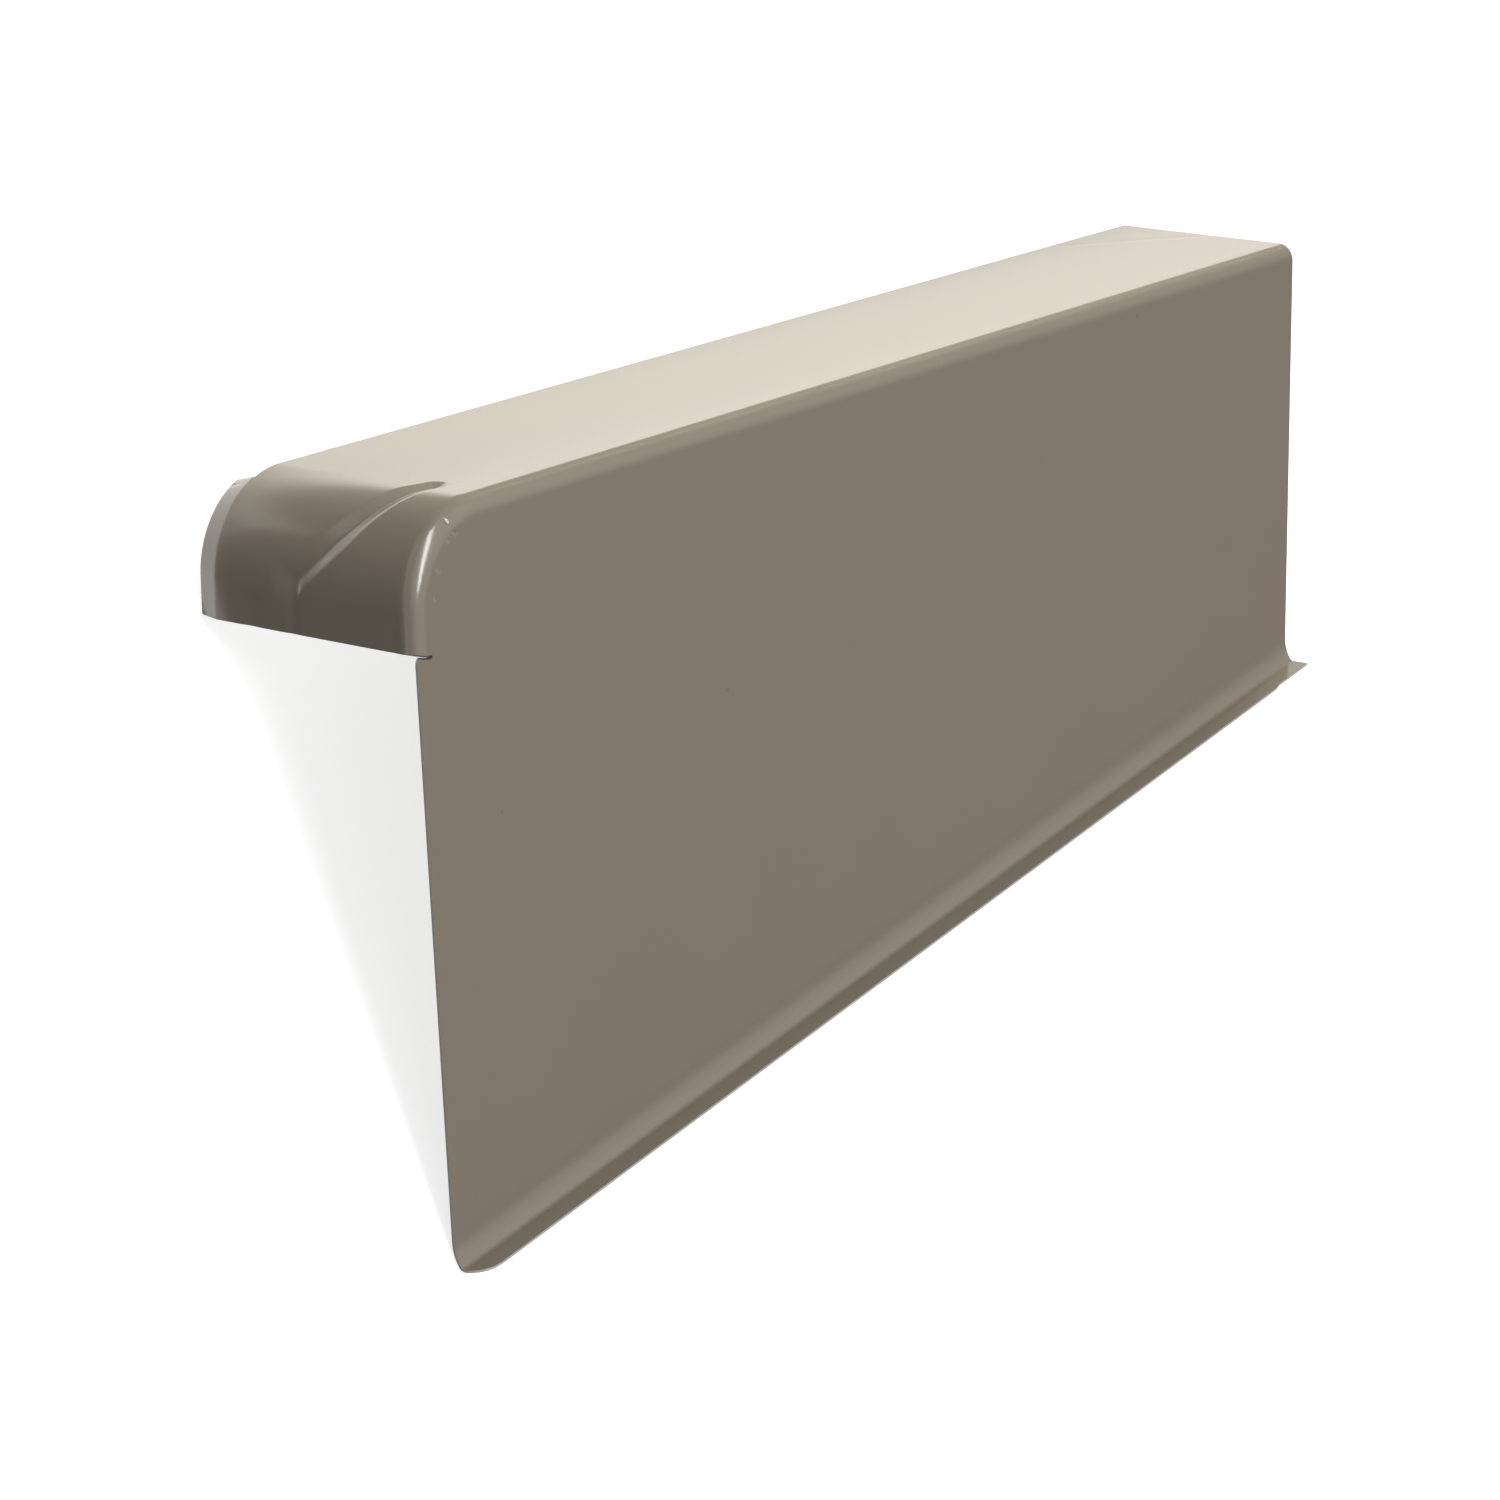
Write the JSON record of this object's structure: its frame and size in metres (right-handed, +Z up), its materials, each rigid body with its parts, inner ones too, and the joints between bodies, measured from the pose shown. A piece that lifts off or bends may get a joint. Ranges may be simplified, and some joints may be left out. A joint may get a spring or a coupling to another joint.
{
  "type": "verge flashing",
  "caption": "One-piece sheet-steel verge flashing: a tapering web with an outward lip, a top flange and a drawn rounded nose that closes its lower end.",
  "frame": {"origin": "middle of the piece's bounding box, at floor level", "axes": "+Z up, away from the floor that the piece lies on with the web's outer face upwards; +X along the flange from the nose to the tail; +Y from the web's foot towards the flange"},
  "size_m": [0.4334, 0.2148, 0.0779],
  "materials": {
    "coated_sheet": "smooth taupe coil coating, satin to gloss"
  },
  "bodies": {
    "root": {"verge_flashing": "coated_sheet"}
  },
  "joints": []
}
